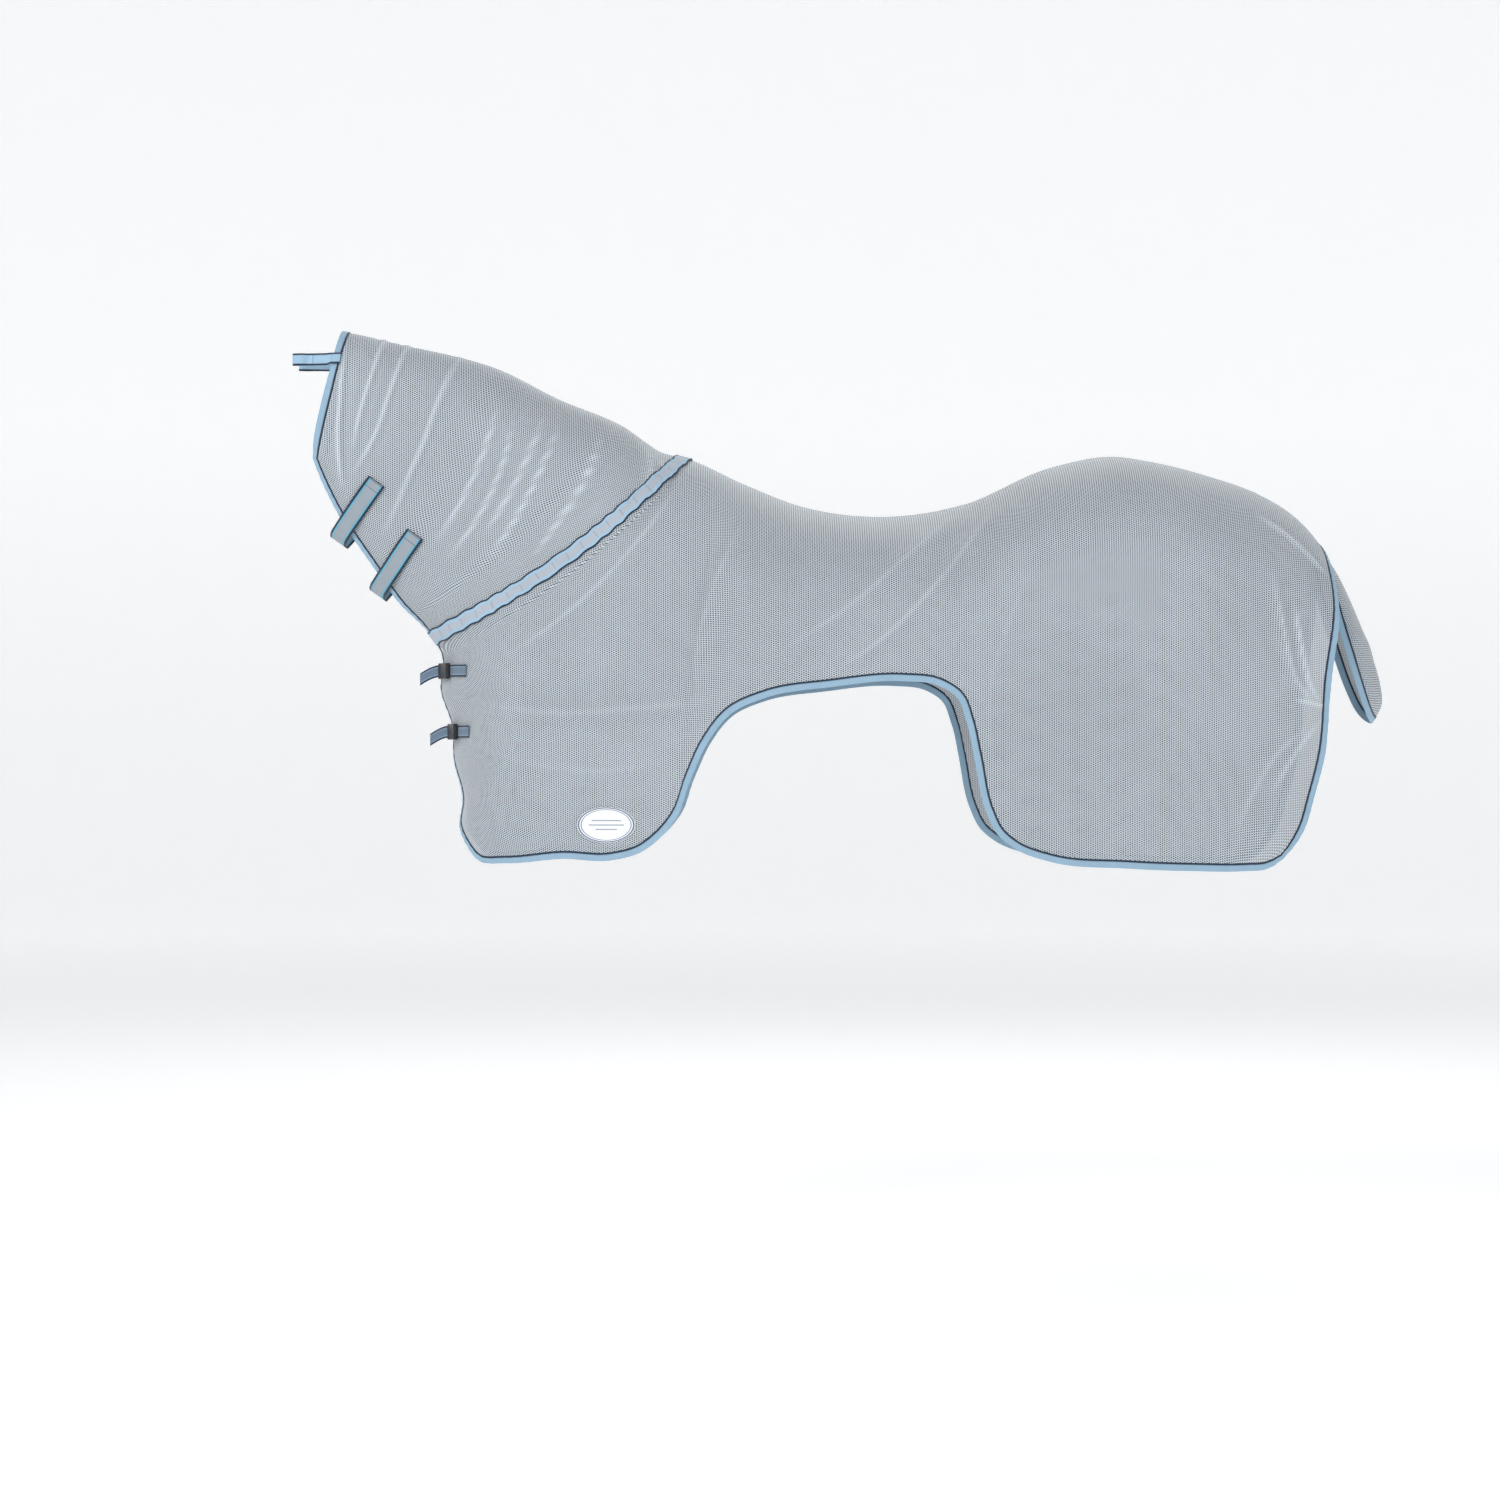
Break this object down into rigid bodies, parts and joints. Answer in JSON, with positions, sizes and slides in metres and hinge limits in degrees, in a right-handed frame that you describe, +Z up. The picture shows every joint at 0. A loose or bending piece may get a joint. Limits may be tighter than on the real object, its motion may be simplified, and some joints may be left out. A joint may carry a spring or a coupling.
{
  "type": "riding fly sheet with neck cover",
  "caption": "Horse riding fly sheet of mesh cloth with a neck cover, tail flap, throat straps, chest buckles and bridle tabs.",
  "frame": {"origin": "top line of the sheet at the withers, where the neck cover joins the body", "axes": "+X towards the tail, +Y towards the horse's right side, +Z up"},
  "size_m": [2.2802, 0.6632, 1.1282],
  "materials": {
    "mesh": "open mesh knit, silver white",
    "binding": "woven tape, light blue",
    "seam_tape": "woven tape, white",
    "strap": "woven strap, grey with blue edges",
    "hook": "hook and loop tape, navy",
    "webbing": "woven tape, blue grey with navy edges",
    "buckle": "moulded, black",
    "label": "smooth woven patch, white"
  },
  "bodies": {
    "sheet": {"neck_panel_left": "mesh", "body_panel_left": "mesh", "neck_binding_left": "binding", "body_binding_left": "binding", "wither_tape_left": "binding", "bridle_tab_patch_left": "binding", "neck_panel_right": "mesh", "body_panel_right": "mesh", "neck_binding_right": "binding", "body_binding_right": "binding", "wither_tape_right": "binding", "bridle_tab_patch_right": "binding", "crest_seam_tape": "seam_tape", "back_seam_tape": "seam_tape", "label_patch": "label", "throat_loop_patch_upper": "hook", "chest_webbing_left_upper": "webbing", "chest_webbing_right_upper": "webbing", "buckle_socket_upper": "buckle", "throat_loop_patch_lower": "hook", "chest_webbing_left_lower": "webbing", "chest_webbing_right_lower": "webbing", "buckle_socket_lower": "buckle"},
    "tail_flap": {"tail_flap": "mesh", "tail_flap_binding": "binding"},
    "bridle_tab_left": {"bridle_tab_left": "binding"},
    "bridle_tab_right": {"bridle_tab_right": "binding"},
    "throat_strap_upper": {"throat_strap_upper": "strap", "throat_hook_patch_upper": "hook"},
    "chest_plug_upper": {"buckle_plug_upper": "buckle"},
    "webbing_end_upper": {"webbing_end_upper": "webbing"},
    "throat_strap_lower": {"throat_strap_lower": "strap", "throat_hook_patch_lower": "hook"},
    "chest_plug_lower": {"buckle_plug_lower": "buckle"},
    "webbing_end_lower": {"webbing_end_lower": "webbing"}
  },
  "joints": [
    {"name": "tail_flap_hinge", "type": "hinge", "parent": "sheet", "child": "tail_flap", "pos_m": [1.32856, 0, -0.19047], "axis": [0, -1, 0], "range_deg": [0, 100]},
    {"name": "throat_strap_upper_hinge", "type": "hinge", "parent": "sheet", "child": "throat_strap_upper", "pos_m": [-0.69464, 0.08992, -0.11425], "axis": [0.8074, 0.175, -0.5634], "range_deg": [0, 110]},
    {"name": "throat_strap_lower_hinge", "type": "hinge", "parent": "sheet", "child": "throat_strap_lower", "pos_m": [-0.61306, 0.09916, -0.22531], "axis": [0.7802, 0.2963, -0.5509], "range_deg": [0, 110]},
    {"name": "bridle_tab_left_hinge", "type": "hinge", "parent": "sheet", "child": "bridle_tab_left", "pos_m": [-0.74403, -0.08045, 0.20706], "axis": [0.0172, 0.3607, 0.9325], "range_deg": [0, 90]},
    {"name": "bridle_tab_right_hinge", "type": "hinge", "parent": "sheet", "child": "bridle_tab_right", "pos_m": [-0.74403, 0.08045, 0.20706], "axis": [-0.0172, 0.3607, -0.9325], "range_deg": [0, 90]},
    {"name": "chest_plug_upper_slide", "type": "slide", "parent": "sheet", "child": "chest_plug_upper", "axis": [-0.3949, 0.9187, 0], "range_m": [0, 0.018]},
    {"name": "webbing_end_upper_hinge", "type": "hinge", "parent": "chest_plug_upper", "child": "webbing_end_upper", "pos_m": [-0.52417, -0.06489, -0.44478], "axis": [0, 0, 1], "range_deg": [-15, 60]},
    {"name": "chest_plug_lower_slide", "type": "slide", "parent": "sheet", "child": "chest_plug_lower", "axis": [-0.325, 0.9457, 0], "range_m": [0, 0.018]},
    {"name": "webbing_end_lower_hinge", "type": "hinge", "parent": "chest_plug_lower", "child": "webbing_end_lower", "pos_m": [-0.50515, -0.06317, -0.571], "axis": [0, 0, 1], "range_deg": [-15, 60]}
  ]
}
